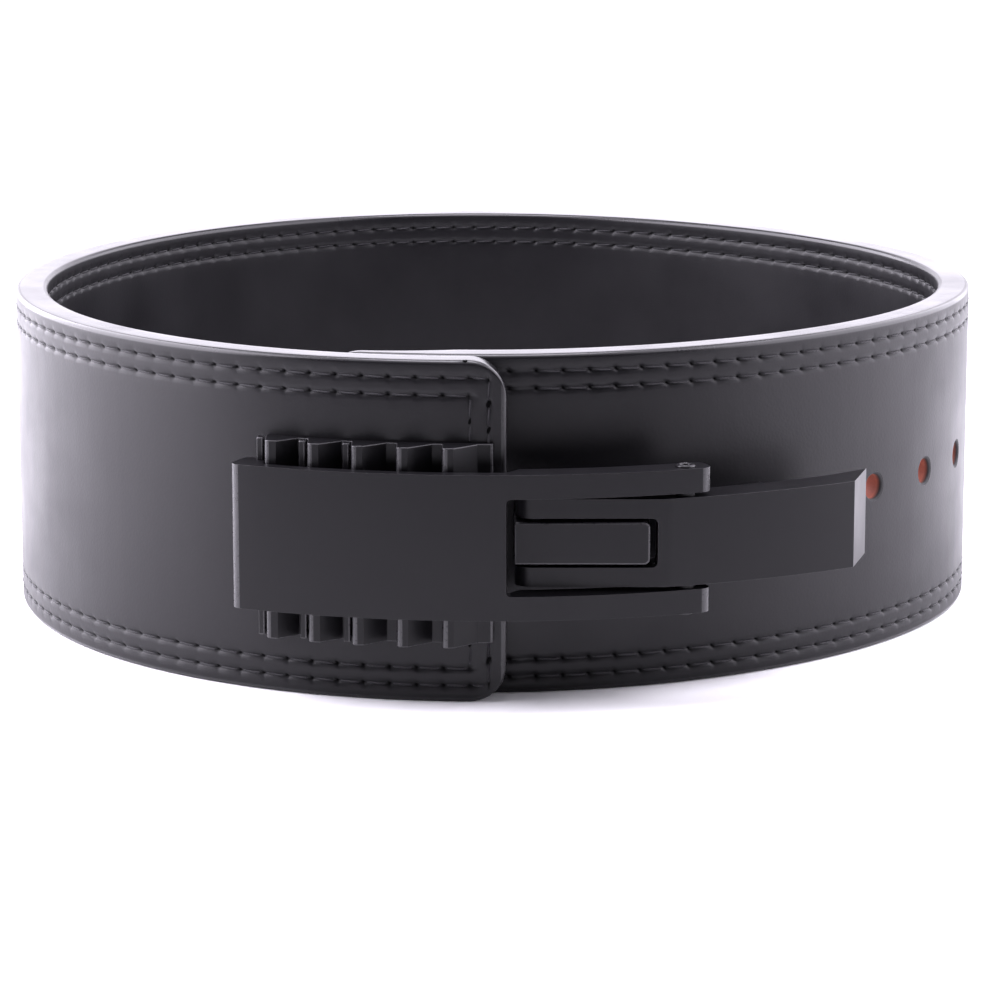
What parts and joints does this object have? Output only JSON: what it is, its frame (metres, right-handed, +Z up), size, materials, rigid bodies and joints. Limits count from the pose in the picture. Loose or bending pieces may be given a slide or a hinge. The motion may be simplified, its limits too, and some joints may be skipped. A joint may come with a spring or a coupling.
{
  "type": "weightlifting belt",
  "caption": "Thick leather weightlifting belt bent into a waist loop, closed in front by an over-centre lever and a hook plate on a toothed rack.",
  "frame": {"origin": "under the middle of the whole belt, at the level of the strap's lower edge", "axes": "+Z up along the waist, -Y out through the buckle at the front, +X the way the lever's finger end points"},
  "size_m": [0.306, 0.3332, 0.1],
  "materials": {
    "leather": "satin black, fine grain, stitched edges",
    "coated_metal": "satin black coating",
    "steel": "dark steel"
  },
  "bodies": {
    "belt": {"strap": "leather", "rack": "coated_metal", "rack_screw_1": "steel", "rack_screw_2": "steel", "rack_screw_3": "steel", "rack_screw_4": "steel", "base_plate": "coated_metal", "base_screw_1": "steel", "base_screw_2": "steel", "hinge_pin": "steel"},
    "lever": {"lever": "coated_metal", "fork_pin": "coated_metal"},
    "hook_plate": {"hook_plate": "coated_metal"}
  },
  "joints": [
    {"name": "lever_hinge", "type": "hinge", "parent": "belt", "child": "lever", "pos_m": [0.01098, -0.15445, 0.0486], "axis": [0, 0, -1], "range_deg": [0, 140]},
    {"name": "hook_hinge", "type": "hinge", "parent": "lever", "child": "hook_plate", "pos_m": [0.05457, -0.15349, 0.0486], "axis": [0, 0, -1], "range_deg": [-140, 0]}
  ],
  "couplings": [
    {"joint": "hook_hinge", "follows": "lever_hinge", "ratio": -1}
  ]
}
